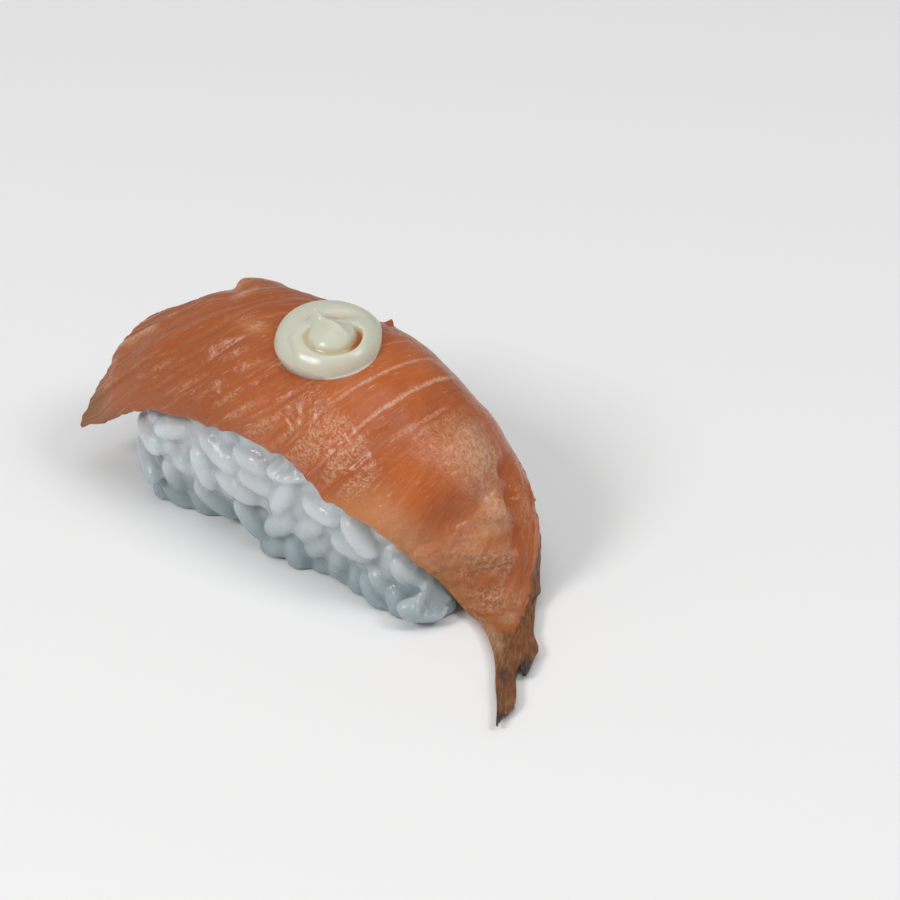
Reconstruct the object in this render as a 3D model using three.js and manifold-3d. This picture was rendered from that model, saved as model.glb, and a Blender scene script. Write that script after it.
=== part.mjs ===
// Salmon nigiri: a block of pressed sushi rice, a slice of salmon laid over it and a
// piped dollop of mayonnaise on top. A standalone three.js model, in millimetres, +Z up.
// The origin is on the rice's flat underside, below the slice's crown. +X runs along the slice to its
// ragged tail, and -Y is the side where the slice hangs lowest.

import * as THREE from "three";
import { mergeVertices } from "three/addons/utils/BufferGeometryUtils.js";
import Module from "manifold-3d";

const wasm = await Module();
wasm.setup();

const DEG = Math.PI / 180;
const CLEARANCE = 0.3; // free gap between two pieces that rest on each other

// ---- Driving dimensions ----

const RICE = {
  centreX: -0.8,
  halfLength: 25,
  halfWidth: 13.2,
  height: 28, // of the mound before the slice presses its top into shape
  squareness: 7, // exponent of the footprint: 2 is an ellipse, more is boxier
  lean: 2.0, // how far the -X end leans out at half height
  bellyHeight: 8, // where the block is widest
  tuck: 0.03, // share by which the foot is narrower than the belly
  coreDepth: 2.0, // the core lies this far inside the grains' outer envelope
};

// A hollow in the foot of the near side, where no grains reach the table.
const HOLLOW = { angle: 4.27, halfAngle: 0.27, depth: 0.29, height: 8 };

// Further along the near side, the foot is drawn in.
const NEAR_TUCK = { angle: 5.1, halfAngle: 0.3, depth: 0.14, height: 11 };

// The far +X corner falls away with height, because the slice leaves it uncovered.
const SHAVE = { angle: 0.8, halfAngle: 0.55, depth: 0.22, height: 10 };

const GRAIN = {
  length: 7.2,
  width: 3.2,
  thickness: 2.8,
  sizeSpread: 0.14, // share by which a grain may be longer or shorter
  sides: 5,
  rings: 2,
  count: 108,
  depth: 1.2, // how far a grain's middle lies inside the envelope
};

const SLICE = {
  start: new THREE.Vector3(0.1, -0.6, 30.1), // its top side at the middle
  rows: 52,
  columns: 16,
  tailHeight: 1.4, // top side of the tail above the table
  tableGap: 0.35, // the slice's lowest point above the table
};

const DOLLOP = {
  along: 0.4, // where it sits on the slice
  across: -0.1,
  radius: 7.1,
  shoulder: 2.15, // height of the rounded body
  peak: 1.35, // height of the pulled-up tip above the body
  grooveDepth: 1.0,
  tip: { x: -1.35, y: 0.15 }, // in the dollop's own x and y
  // The last coil: its middle, half its width, and its reach to the front and back.
  heart: { x: 0.9, y: -2, half: 3.55, front: 3, back: 2.1 },
  turn: 39.5, // degrees: heading of the dollop's own x axis
  rings: 16,
  around: 48,
};

const COLOURS = { rice: 0xa9b2b6, salmon: 0xb26339, mayonnaise: 0xcbcab6 };

// ---- Small helpers ----

const clamp = (v, low, high) => Math.min(high, Math.max(low, v));
const smooth = (low, high, v) => {
  const s = clamp((v - low) / (high - low), 0, 1);
  return s * s * (3 - 2 * s);
};
const bell = (v) => Math.exp(-v * v);

// A repeatable draw between 0 and 1 for the n-th item of a kind.
const draw = (n, kind) => {
  const v = Math.sin(n * 12.9898 + kind * 78.233 + 1.7) * 43758.5453;
  return v - Math.floor(v);
};

// A smooth curve through a few [position, value] stations, level at both ends.
function along(stations) {
  const n = stations.length;
  const slope = stations.map((station, i) => {
    if (i === 0 || i === n - 1) return 0;
    const [a, b] = [stations[i - 1], stations[i + 1]];
    const before = (station[1] - a[1]) / (station[0] - a[0]);
    const after = (b[1] - station[1]) / (b[0] - station[0]);
    return before * after <= 0 ? 0 : (2 * before * after) / (before + after);
  });
  return (at) => {
    const v = clamp(at, stations[0][0], stations[n - 1][0]);
    let i = 0;
    while (i < n - 2 && v > stations[i + 1][0]) i += 1;
    const [x0, y0] = stations[i];
    const [x1, y1] = stations[i + 1];
    const h = x1 - x0;
    const s = (v - x0) / h;
    return (
      y0 * (1 + 2 * s) * (1 - s) ** 2 +
      h * slope[i] * s * (1 - s) ** 2 +
      y1 * s * s * (3 - 2 * s) -
      h * slope[i + 1] * s * s * (1 - s)
    );
  };
}

// ---- The salmon slice, a sheet bent along its length and across its width ----

// Stations along the sheet in millimetres from its middle, towards the tail. The pitch
// is the fall of its crest in degrees and the yaw its heading. A width is the reach of
// one side from the crest and a drop is how far its edge hangs below the crest.
const sheet = {
  pitch: along([
    [-46, -34], [-36, -36], [-26, -30], [-16, -14.5], [-6, -3], [0, 0], [8, 16.5], [15, 27],
    [22, 40], [29, 60], [36, 70], [42, 71.5], [48, 33], [53, 7.5], [60, 0],
  ]),
  yaw: along([[26, 0], [36, -15], [44, -39], [52, -55], [58, -58], [64, -53], [70, -56]]),
  nearWidth: along([
    [-46, 11.8], [-34, 12.9], [-20, 13.4], [4, 13.4], [16, 14.7], [26, 14], [34, 12.6],
    [42, 8.5], [48, 5.1], [54, 2.8], [60, 1.5], [70, 1],
  ]),
  farWidth: along([
    [-46, 10], [-34, 13.3], [-20, 15], [-8, 15.2], [4, 14.2], [16, 12.7], [26, 11.6],
    [34, 9.2], [42, 5.2], [48, 2.7], [51, 2.4], [55, 3.3], [59, 3], [65, 5.2], [70, 3],
  ]),
  nearDrop: along([
    [-46, 9.2], [-34, 9.2], [-20, 11], [-8, 12.1], [4, 12.1], [16, 11.6], [26, 9.2],
    [34, 5.4], [42, 2], [48, 0.9], [54, 0.4], [60, 0.1],
  ]),
  farDrop: along([
    [-46, 8], [-34, 10.7], [-20, 12.4], [-8, 13.4], [4, 13.8], [16, 12.3], [26, 9.7],
    [34, 5.8], [42, 3.4], [48, 2.2], [54, 1.3], [60, 0.4],
  ]),
  fold: along([[-46, 84], [28, 86], [46, 48]]), // slope of the edges, in degrees
  thickness: along([
    [-46, 2.2], [-36, 3.2], [-22, 4.2], [10, 4.4], [28, 4], [38, 2.8], [46, 1.6], [56, 1],
  ]),
};

// Both cut ends, by place across the sheet from the near edge at -1 to the far edge at 1.
// The near corner hangs out on the left. The right end is torn into a long and a short tail.
const LEFT = {
  length: 37.2,
  end: along([[-1, 45.3], [-0.83, 43], [-0.65, 40.4], [-0.42, 38.2], [-0.15, 37.2], [1, 36]]),
};
const RIGHT = {
  length: 58,
  end: along([
    [-1, 64], [-0.75, 70], [-0.35, 69.3], [0, 68], [0.2, 66.5], [0.3, 60], [0.45, 59],
    [0.7, 60.2], [0.85, 58.5], [1, 55.5],
  ]),
};

// Lumps and dents of the top side, each with its place and its spread both ways.
const LUMPS = [
  { l: -29, t: 0.4, height: -0.9, spanL: 5, spanT: 0.35 },
  { l: -5, t: 0.35, height: -0.9, spanL: 7, spanT: 0.4 },
  { l: -38, t: -0.45, height: -0.45, spanL: 2, spanT: 0.3 },
  { l: 25.5, t: -0.12, height: 0.7, spanL: 4.2, spanT: 0.2 },
  { l: 32.8, t: -0.02, height: 0.9, spanL: 2.2, spanT: 0.14 },
  { l: 29.4, t: 0.24, height: -0.8, spanL: 1.9, spanT: 0.12 },
  { l: 29.6, t: -0.3, height: -0.5, spanL: 2.6, spanT: 0.12 },
  { l: 37.5, t: -0.15, height: 0.6, spanL: 2.4, spanT: 0.3 },
  { l: 41.2, t: -0.1, height: -0.4, spanL: 1.6, spanT: 0.4 },
];

// The raised flap on the far side: it starts steeply, and sinks back into the slice.
const FLAP = { start: -22.2, end: -17, foot: 0.17, rise: 1.3 };

// The crest line, summed up in short steps both ways from the middle of the slice.
const STEP = 0.25;
function crestLine(direction, length) {
  const line = [];
  const at = SLICE.start.clone();
  for (let run = 0; run <= length; run += STEP) {
    const l = direction * run;
    line.push(at.clone());
    const pitch = sheet.pitch(l + (direction * STEP) / 2) * DEG;
    const yaw = sheet.yaw(l + (direction * STEP) / 2) * DEG;
    at.x += direction * STEP * Math.cos(pitch) * Math.cos(yaw);
    at.y += direction * STEP * Math.cos(pitch) * Math.sin(yaw);
    at.z -= direction * STEP * Math.sin(pitch);
  }
  return line;
}
const CREST = { left: crestLine(-1, 50), right: crestLine(1, 74) };

// Eases a height off onto a floor instead of going through it.
function settle(z, floor, softness) {
  const above = z - floor;
  return floor + 0.5 * (above + Math.hypot(above, softness));
}

// A point of the sheet's top side.
function sheetPoint(l, t) {
  const line = l < 0 ? CREST.left : CREST.right;
  const where = Math.abs(l) / STEP;
  const i = Math.min(Math.floor(where), line.length - 2);
  const point = line[i].clone().lerp(line[i + 1], where - i);
  const pitch = sheet.pitch(l) * DEG;
  const yaw = sheet.yaw(l) * DEG;
  const side = new THREE.Vector3(-Math.sin(yaw), Math.cos(yaw), 0);
  const up = new THREE.Vector3(
    Math.sin(pitch) * Math.cos(yaw),
    Math.sin(pitch) * Math.sin(yaw),
    Math.cos(pitch),
  );
  const near = t < 0;
  const width = near ? sheet.nearWidth(l) : sheet.farWidth(l);
  const drop = near ? sheet.nearDrop(l) : sheet.farDrop(l);
  const fold = sheet.fold(l) * DEG;
  point.addScaledVector(side, (width * Math.sin(fold * t)) / Math.sin(fold));
  point.addScaledVector(up, (-drop * (1 - Math.cos(fold * t))) / (1 - Math.cos(fold)));
  point.z = settle(point.z, SLICE.tailHeight, 0.6);
  return point;
}

function sheetNormal(l, t) {
  const d = 0.01;
  const alongIt = sheetPoint(l + 20 * d, t).sub(sheetPoint(l - 20 * d, t));
  const acrossIt = sheetPoint(l, t + d).sub(sheetPoint(l, t - d));
  return alongIt.cross(acrossIt).normalize();
}

function relief(l, t) {
  const one = (lump) =>
    lump.height * bell((l - lump.l) / lump.spanL) * bell((t - lump.t) / lump.spanT);
  const { start, end, foot, rise } = FLAP;
  const length = smooth(start - 0.4, start + 0.8, l + 2.5 * (t - foot)) * (1 - smooth(start, end, l));
  const width = smooth(foot - 0.05, foot + 0.16, t) * (1 - 0.6 * smooth(0.45, 0.9, t));
  return LUMPS.reduce((sum, lump) => sum + one(lump), rise * length * width);
}

function depthBelow(l, t) {
  return sheet.thickness(l) * (1 - 0.7 * Math.min(1, Math.abs(t)) ** 5);
}

// Place along the sheet for a share s from -1 to 1: only the outer parts follow the ends.
function reach(s, t) {
  const { length, end } = s < 0 ? LEFT : RIGHT;
  return s * length + Math.sign(s) * (end(t) - length) * smooth(0.6, 1, Math.abs(s));
}

// A closed shell between two offsets of the sheet, with place(s, t) giving its outline.
function shell({ rows, columns, lower, upper, place, spread = 1, floor = -Infinity }) {
  const positions = [];
  const index = [];
  const stride = columns + 1;
  for (const level of [lower, upper])
    for (let i = 0; i <= rows; i += 1)
      for (let j = 0; j <= columns; j += 1) {
        const t = (2 * j) / columns - 1;
        const l = place((2 * i) / rows - 1, t);
        const p = sheetPoint(l, t * spread);
        p.addScaledVector(sheetNormal(l, t * spread), level(l, t));
        positions.push(p.x, p.y, Math.max(p.z, floor));
      }
  const top = (rows + 1) * stride;
  const quad = (a, b, c, d) => index.push(a, b, c, a, c, d);
  for (let i = 0; i < rows; i += 1)
    for (let j = 0; j < columns; j += 1) {
      const a = i * stride + j;
      quad(a, a + 1, a + stride + 1, a + stride);
      quad(top + a, top + a + stride, top + a + stride + 1, top + a + 1);
    }
  for (let i = 0; i < rows; i += 1) {
    const a = i * stride;
    const b = a + columns;
    quad(a, a + stride, top + a + stride, top + a);
    quad(b, top + b, top + b + stride, b + stride);
  }
  for (let j = 0; j < columns; j += 1) {
    const b = rows * stride + j;
    quad(j, top + j, top + j + 1, j + 1);
    quad(b, b + 1, top + b + 1, top + b);
  }
  return new THREE.BufferGeometry()
    .setAttribute("position", new THREE.Float32BufferAttribute(positions, 3))
    .setIndex(index);
}

// ---- manifold-3d, for joining and cutting ----

function toSolid(geometry) {
  const bare = geometry.clone();
  bare.deleteAttribute("normal");
  bare.deleteAttribute("uv");
  const merged = mergeVertices(bare, 1e-4);
  return new wasm.Manifold(
    new wasm.Mesh({
      numProp: 3,
      vertProperties: new Float32Array(merged.attributes.position.array),
      triVerts: new Uint32Array(merged.index.array),
    }),
  );
}

// The outer skin of the largest body: sealed hollows are filled, loose scraps dropped.
function toGeometry(solid) {
  const bodies = solid.decompose();
  const largest = bodies.reduce((a, b) => (a.volume() > b.volume() ? a : b));
  const mesh = largest.getMesh();
  const positions = [];
  for (let i = 0; i < mesh.numVert; i += 1)
    positions.push(...mesh.vertProperties.subarray(i * mesh.numProp, i * mesh.numProp + 3));
  return new THREE.BufferGeometry()
    .setAttribute("position", new THREE.Float32BufferAttribute(positions, 3))
    .setIndex([...mesh.triVerts]);
}

// ---- The rice ----

// Radius factor of a superellipse whose half axes are 1.
const footprint = (angle) =>
  (Math.abs(Math.cos(angle)) ** RICE.squareness + Math.abs(Math.sin(angle)) ** RICE.squareness) **
  (-1 / RICE.squareness);

// The envelope that the grains reach, at an angle round the block and a height.
function ricePoint(angle, z, depth = 0) {
  const belly = 1 - smooth(-1, RICE.bellyHeight, z);
  const hollow = HOLLOW.depth * bell((angle - HOLLOW.angle) / HOLLOW.halfAngle);
  const above = clamp((z - RICE.bellyHeight) / (RICE.height - RICE.bellyHeight), 0, 0.999);
  const shave = SHAVE.depth * bell((angle - SHAVE.angle) / SHAVE.halfAngle);
  const drawnIn = NEAR_TUCK.depth * bell((angle - NEAR_TUCK.angle) / NEAR_TUCK.halfAngle);
  const low = (height) => 1 - smooth(0, height, z);
  const foot = 1 - RICE.tuck * belly - hollow * low(HOLLOW.height) - drawnIn * low(NEAR_TUCK.height);
  const waist = (1 - above ** 3) ** (1 / 3) - shave * smooth(0, SHAVE.height, z);
  const r = footprint(angle) * foot * Math.max(waist, 0.05);
  const lean = Math.cos(angle) < 0 ? RICE.lean * smooth(0, 14, z) : 0;
  const x = RICE.centreX + r * (RICE.halfLength - depth + lean) * Math.cos(angle);
  const y = r * (RICE.halfWidth - depth) * Math.sin(angle);
  return new THREE.Vector3(x, y, z);
}

// Rings of points from the foot to the top, closed with a middle point at each end.
function dome(rings, around, pointAt, foot, tip) {
  const positions = [...foot];
  const index = [];
  for (let k = 0; k < rings; k += 1)
    for (let i = 0; i < around; i += 1)
      positions.push(...pointAt(k / rings, (2 * Math.PI * i) / around));
  positions.push(...tip);
  const at = (k, i) => 1 + k * around + (i % around);
  const last = 1 + rings * around;
  for (let i = 0; i < around; i += 1) {
    index.push(0, at(0, i + 1), at(0, i), last, at(rings - 1, i), at(rings - 1, i + 1));
    for (let k = 0; k < rings - 1; k += 1) {
      index.push(at(k, i), at(k, i + 1), at(k + 1, i + 1));
      index.push(at(k, i), at(k + 1, i + 1), at(k + 1, i));
    }
  }
  return new THREE.BufferGeometry()
    .setAttribute("position", new THREE.Float32BufferAttribute(positions, 3))
    .setIndex(index);
}

function riceCore() {
  const top = RICE.height - RICE.coreDepth;
  const level = (share, angle) =>
    ricePoint(angle, top * Math.sin((Math.PI / 2) * share), RICE.coreDepth).toArray();
  return dome(9, 36, level, [0, 0, 0], [0, 0, top]);
}

// One grain of unit size lying along x: a rounded spindle with few sides.
function grainGeometry() {
  const { sides, rings } = GRAIN;
  const ring = (share, angle) => {
    const polar = (Math.PI * (share * rings + 1)) / (rings + 1);
    const r = 0.55 * Math.sin(polar) ** 0.7;
    return [-0.5 * Math.cos(polar), r * Math.cos(angle), r * Math.sin(angle)];
  };
  return dome(rings, sides, ring, [-0.5, 0, 0], [0.5, 0, 0]);
}

// Angles at even steps round the block's outline.
const OUTLINE = (() => {
  const steps = 720;
  const angles = [0];
  const run = [0];
  for (let i = 1; i <= steps; i += 1) {
    angles.push((2 * Math.PI * i) / steps);
    run.push(run[i - 1] + ricePoint(angles[i], 12).distanceTo(ricePoint(angles[i - 1], 12)));
  }
  return { angles, run };
})();

function angleAt(share) {
  const { angles, run } = OUTLINE;
  const target = share * run[run.length - 1];
  const i = run.findIndex((v) => v > target);
  return angles[i - 1] + ((angles[i] - angles[i - 1]) * (target - run[i - 1])) / (run[i] - run[i - 1]);
}

const GOLDEN = (Math.sqrt(5) - 1) / 2;
const topOfGrains = along([[-27, 16.5], [-12, 17.5], [4, 17.5], [12, 16], [18, 13.5], [22, 10], [26, 7]]);

// Grains round the sides, in even steps of the golden ratio round the block and up it.
function placedGrain(shape, n) {
  const angle = angleAt((n * GOLDEN) % 1);
  const height = topOfGrains(ricePoint(angle, 8).x);
  const z = 1.1 + (height - 1.1) * ((n + 0.5) / GRAIN.count) ** 1.15;
  const place = ricePoint(angle, z);
  const d = 0.02;
  const round = ricePoint(angle + d, z).sub(ricePoint(angle - d, z)).normalize();
  const rise = ricePoint(angle, z + d).sub(ricePoint(angle, z - d)).normalize();
  const out = round.clone().cross(rise).normalize();
  place.addScaledVector(out, -GRAIN.depth + 0.7 * (draw(n, 1) - 0.5));
  const axis = round.applyAxisAngle(out, Math.PI * draw(n, 2));
  axis.applyAxisAngle(axis.clone().cross(out).normalize(), 0.6 * (draw(n, 3) - 0.5));
  const side = out.clone().cross(axis).normalize();
  const face = axis.clone().cross(side);
  const size = 1 + GRAIN.sizeSpread * (2 * draw(n, 4) - 1);
  const basis = new THREE.Matrix4().makeBasis(
    axis.multiplyScalar(GRAIN.length * size),
    side.multiplyScalar(GRAIN.width),
    face.multiplyScalar(GRAIN.thickness),
  );
  basis.setPosition(place);
  return shape.clone().applyMatrix4(basis);
}

function riceGeometry(cover) {
  const shape = grainGeometry();
  let heap = toSolid(riceCore());
  for (let n = 0; n < GRAIN.count; n += 1) heap = heap.add(toSolid(placedGrain(shape, n)));
  const table = new THREE.BoxGeometry(90, 60, 20).translate(0, 0, -10);
  return toGeometry(heap.subtract(toSolid(table)).subtract(cover));
}

// ---- The mayonnaise ----

// Distance from a straight segment, and the share of the way along it.
function fromSegment(x, y, start, end) {
  const dx = end.x - start.x;
  const dy = end.y - start.y;
  const share = clamp(((x - start.x) * dx + (y - start.y) * dy) / (dx * dx + dy * dy), 0, 1);
  return { share, distance: Math.hypot(x - start.x - share * dx, y - start.y - share * dy) };
}

// Thickness of the swirl: a rounded body, an off-centre last coil with a groove round it that is
// deepest on the right, a hollow behind the tip, and a ridge that falls from the tip.
function dollopHeight(x, y) {
  const { radius, shoulder, peak, grooveDepth, tip, heart } = DOLLOP;
  const r = Math.min(1, Math.hypot(x, y) / radius);
  const body = shoulder * (1 - r ** 4) ** 0.5 * (1 + 0.13 * (y / radius));
  const u = (x - heart.x) / heart.half;
  const v = (y - heart.y) / (y < heart.y ? heart.front : heart.back);
  const rho = Math.hypot(u, v);
  const angle = Math.atan2(v, u);
  const coil = 0.95 * (1 - smooth(0.1, 1.12, rho));
  const right = bell((angle + 0.42) / 0.72);
  const front = smooth(-3.3, -2.6, angle) * (1 - smooth(0.2, 0.6, angle)) + smooth(2.3, 2.9, angle);
  const groove = grooveDepth * bell((rho - 1.05) / 0.19) * (0.3 * front + right);
  const rear = 0.75 * bell((x - 1.3) / 2.1) * bell((y - 1.55) / 0.85);
  const fold = fromSegment(x, y, tip, { x: 2.3, y: -2.9 });
  const ridge = 0.62 * bell(fold.distance / 0.62) * (1 - 0.45 * fold.share);
  const point = peak * Math.exp(-1.25 * Math.hypot(x - tip.x, y - tip.y) ** 1.05);
  return body + coil - groove - rear + ridge + point;
}

// The rim is a little wider in front and at the back right than a circle.
const rimAt = (angle) =>
  DOLLOP.radius * (0.99 - 0.02 * Math.cos(2 * angle) - 0.014 * Math.sin(2 * angle) -
    0.035 * Math.cos(3 * angle));

// The swirl stands along the slice's normal at its middle. To its thickness comes the slice's own
// fall below that plane, in full at the rim and as the square of the radius inside.
function dollopGeometry(bed) {
  const { rings, around, along: l, across: t, turn, radius, tip } = DOLLOP;
  const middle = sheetPoint(l, t);
  const up = sheetNormal(l, t);
  const forward = new THREE.Vector3(0, 1, 0).cross(up).normalize();
  const aside = up.clone().cross(forward);
  const arc = 1.11 * Math.hypot(sheet.farWidth(0), sheet.farDrop(0));
  const place = (x, y, sunk = 0) => {
    const run = x * Math.cos(turn * DEG) - y * Math.sin(turn * DEG);
    const side = x * Math.sin(turn * DEG) + y * Math.cos(turn * DEG);
    const share = Math.min(1, (Math.hypot(x, y) / radius) ** 2);
    const fall = sheetPoint(l + run, t + side / arc).sub(middle).dot(up) * share;
    const height = sunk ? fall - sunk : fall + dollopHeight(x, y) + 0.05;
    return middle.clone().addScaledVector(forward, run).addScaledVector(aside, side)
      .addScaledVector(up, height).toArray();
  };
  // The rings close in on the tip, so that its point is kept.
  const level = (share, angle) => {
    const foot = share === 0;
    const r = foot ? 0.8 : Math.sin((((rings + 1) * (1 - share)) / rings) * (Math.PI / 2)) ** 0.9;
    const inward = foot ? 0 : 1 - r * r;
    const x = tip.x * inward + rimAt(angle) * r * Math.cos(angle);
    const y = tip.y * inward + rimAt(angle) * r * Math.sin(angle);
    return place(x, y, foot ? 3 : 0);
  };
  const shape = dome(rings + 1, around, level, place(0, 0, 3), place(tip.x, tip.y));
  return toGeometry(toSolid(shape).subtract(bed));
}

// ---- The object ----

function node(name, geometry, colour, roughness) {
  const look = new THREE.MeshStandardMaterial({ color: colour, roughness, metalness: 0 });
  const mesh = new THREE.Mesh(geometry, look);
  mesh.name = name;
  return mesh;
}

const slice = shell({
  rows: SLICE.rows,
  columns: SLICE.columns,
  lower: (l, t) => -depthBelow(l, t),
  upper: relief,
  place: reach,
  floor: SLICE.tableGap,
});

// The room that the slice needs above the rice, and that it takes under the mayonnaise.
const cover = shell({
  rows: 26,
  columns: 12,
  lower: (l, t) => -depthBelow(l, t) - CLEARANCE,
  upper: () => 10,
  place: (s) => 43 * s,
  spread: 1.05,
});
const bed = shell({
  rows: 16,
  columns: 12,
  lower: () => -8,
  upper: (l, t) => relief(l, t) + CLEARANCE,
  place: (s) => 2 + 16 * s,
  spread: 0.9,
});

const nigiri = new THREE.Group();
nigiri.name = "salmon_nigiri";
nigiri.add(
  node("rice", riceGeometry(toSolid(cover)), COLOURS.rice, 0.35),
  node("salmon_slice", slice, COLOURS.salmon, 0.35),
  node("mayonnaise", dollopGeometry(toSolid(bed)), COLOURS.mayonnaise, 0.25),
);

export default nigiri;
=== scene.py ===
"""A salmon nigiri dressed over its CAD frame: real rice grains on a pressed block, a slice of
salmon with its fibres, fat lines and torn tail, and a piped swirl of mayonnaise.

Shapes are worked out in millimetres, in the frame's axes, and put into meshes in metres.
"""

import bpy
import numpy as np
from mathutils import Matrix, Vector


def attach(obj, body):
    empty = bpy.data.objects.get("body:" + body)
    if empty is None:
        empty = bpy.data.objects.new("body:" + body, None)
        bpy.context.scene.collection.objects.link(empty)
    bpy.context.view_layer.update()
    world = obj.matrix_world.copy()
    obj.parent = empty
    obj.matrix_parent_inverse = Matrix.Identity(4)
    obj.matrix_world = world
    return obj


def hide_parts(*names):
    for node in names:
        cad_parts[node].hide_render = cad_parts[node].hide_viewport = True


bl_info = {
    "name": "Salmon nigiri",
    "version": (1, 0, 0),
    "blender": (4, 5, 0),
    "location": "View3D > Sidebar > Nigiri",
    "description": "Builds the rice, the salmon slice and the mayonnaise of a nigiri",
    "category": "Add Mesh",
}

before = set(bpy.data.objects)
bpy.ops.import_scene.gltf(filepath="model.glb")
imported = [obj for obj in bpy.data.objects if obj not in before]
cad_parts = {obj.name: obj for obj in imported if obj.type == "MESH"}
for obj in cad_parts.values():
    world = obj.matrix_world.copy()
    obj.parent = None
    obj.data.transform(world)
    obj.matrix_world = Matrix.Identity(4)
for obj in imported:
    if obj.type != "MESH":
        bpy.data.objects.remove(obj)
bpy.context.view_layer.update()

MM = 0.001  # one millimetre, in the scene's metres
MAP_SIZE = 100  # millimetres across a piece's own map
DEG = np.pi / 180
CLEARANCE = 0.3  # free gap between two pieces that rest on each other, in millimetres
ROOT = "root"


# ---- Curves and noise, on whole arrays ----


def smooth(low, high, value):
    """0 up to low, 1 from high on, and 3 s^2 - 2 s^3 between them."""
    s = np.clip((value - low) / (high - low), 0, 1)
    return s * s * (3 - 2 * s)


def bell(value):
    """exp(-value^2)."""
    return np.exp(-value * value)


def patches(table, l, t):
    """The sum of a table's patches: each its strength times a bell along and a bell across."""
    return sum(
        strength * bell((l - at_l) / span_l) * bell((t - at_t) / span_t)
        for at_l, at_t, span_l, span_t, strength in table
    )


def draw(number, kind):
    """A repeatable draw between 0 and 1: the fraction of a large sine of the number."""
    return np.sin(number * 12.9898 + kind * 78.233 + 1.7) * 43758.5453 % 1


def along(*stations):
    """A curve through (position, value) stations, level at both ends: a cubic between each two,
    whose slope at a station is the harmonic mean of the slopes beside it, or 0 at a peak."""
    at, value = np.array(stations, float).T
    step = np.diff(at)
    rise = np.diff(value) / step
    both = rise[:-1] * rise[1:]
    slope = np.zeros(len(at))
    slope[1:-1] = np.where(both > 0, 2 * both / np.where(both > 0, rise[:-1] + rise[1:], 1), 0)

    def curve(place):
        v = np.clip(place, at[0], at[-1])
        i = np.clip(np.searchsorted(at, v, side="right") - 1, 0, len(step) - 1)
        s = (v - at[i]) / step[i]
        ends = value[i] * (1 + 2 * s) * (1 - s) ** 2 + value[i + 1] * s * s * (3 - 2 * s)
        return ends + step[i] * s * (1 - s) * (slope[i] * (1 - s) - slope[i + 1] * s)

    return curve


def noise(x, y, kind):
    """Smooth noise from -1 to 1: a draw at each whole-number corner, blended by a quintic."""
    column, row = np.floor(x), np.floor(y)
    u, v = x - column, y - row
    u = u**3 * (u * (6 * u - 15) + 10)
    v = v**3 * (v * (6 * v - 15) + 10)

    def corner(dx, dy):
        return 2 * draw(column + dx + 57.31 * (row + dy), kind) - 1

    low = corner(0, 0) * (1 - u) + corner(1, 0) * u
    high = corner(0, 1) * (1 - u) + corner(1, 1) * u
    return low * (1 - v) + high * v


def layered_noise(x, y, kind, layers=3):
    """Noise summed with copies of half the size and half the height."""
    return sum(noise(x * 2**k, y * 2**k, kind + k) / 2**k for k in range(layers))


def whole_turn(count):
    """Even angles round a whole turn, as one row."""
    return np.linspace(0, 2 * np.pi, count, endpoint=False)[None, :]


# ---- The sheet that the slice follows ----

SHEET_START = (0.1, -0.6, 30.1)  # its top side at the middle, in millimetres
TAIL_HEIGHT = 1.4  # top side of the tail above the table
TAIL_EASE = 0.6  # how softly the slice comes down on to the tail's height
TABLE_GAP = 0.35  # lowest point of the slice above the table
STEP_ALONG, STEP_ACROSS = 0.2, 0.01  # small steps on the sheet, to measure its slopes

# Stations along the sheet in millimetres from its middle, towards the tail. The pitch is the
# fall of its crest in degrees and the yaw its heading. A width is the reach of one side from
# the crest and a drop is how far its edge hangs below the crest.
PITCH = along(
    (-46, -34), (-36, -36), (-26, -30), (-16, -14.5), (-6, -3), (0, 0), (8, 16.5), (15, 27),
    (22, 40), (29, 60), (36, 70), (42, 71.5), (48, 33), (53, 7.5), (60, 0),
)
YAW = along((26, 0), (36, -15), (44, -39), (52, -55), (58, -58), (64, -53), (70, -56))
NEAR_WIDTH = along(
    (-46, 11.8), (-34, 12.9), (-20, 13.4), (4, 13.4), (16, 14.7), (26, 14), (34, 12.6),
    (42, 8.5), (48, 5.1), (54, 2.8), (60, 1.5), (70, 1),
)
FAR_WIDTH = along(
    (-46, 10), (-34, 13.3), (-20, 15), (-8, 15.2), (4, 14.2), (16, 12.7), (26, 11.6),
    (34, 9.2), (42, 5.2), (48, 2.7), (51, 2.4), (55, 3.3), (59, 3), (65, 5.2), (70, 3),
)
NEAR_DROP = along(
    (-46, 9.2), (-34, 9.2), (-20, 11), (-8, 12.1), (4, 12.1), (16, 11.6), (26, 9.2),
    (34, 5.4), (42, 2), (48, 0.9), (54, 0.4), (60, 0.1),
)
FAR_DROP = along(
    (-46, 8), (-34, 10.7), (-20, 12.4), (-8, 13.4), (4, 13.8), (16, 12.3), (26, 9.7),
    (34, 5.8), (42, 3.4), (48, 2.2), (54, 1.3), (60, 0.4),
)
FOLD = along((-46, 84), (28, 86), (46, 48))  # slope of the edges, in degrees
THICKNESS = along(
    (-46, 2.2), (-36, 3.2), (-22, 4.2), (10, 4.4), (28, 4), (38, 2.8), (46, 1.6), (56, 1)
)

# Both ends, by place across the sheet from the near edge at -1 to the far edge at 1.
LEFT_LENGTH = 37.2
LEFT_END = along((-1, 45.3), (-0.83, 43), (-0.65, 40.4), (-0.42, 38.2), (-0.15, 37.2), (1, 36))
RIGHT_LENGTH = 58
RIGHT_END = along(
    (-1, 64), (-0.75, 70), (-0.35, 69.3), (0, 68), (0.2, 66.5), (0.3, 60), (0.45, 59),
    (0.7, 60.2), (0.85, 58.5), (1, 55.5),
)

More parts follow.
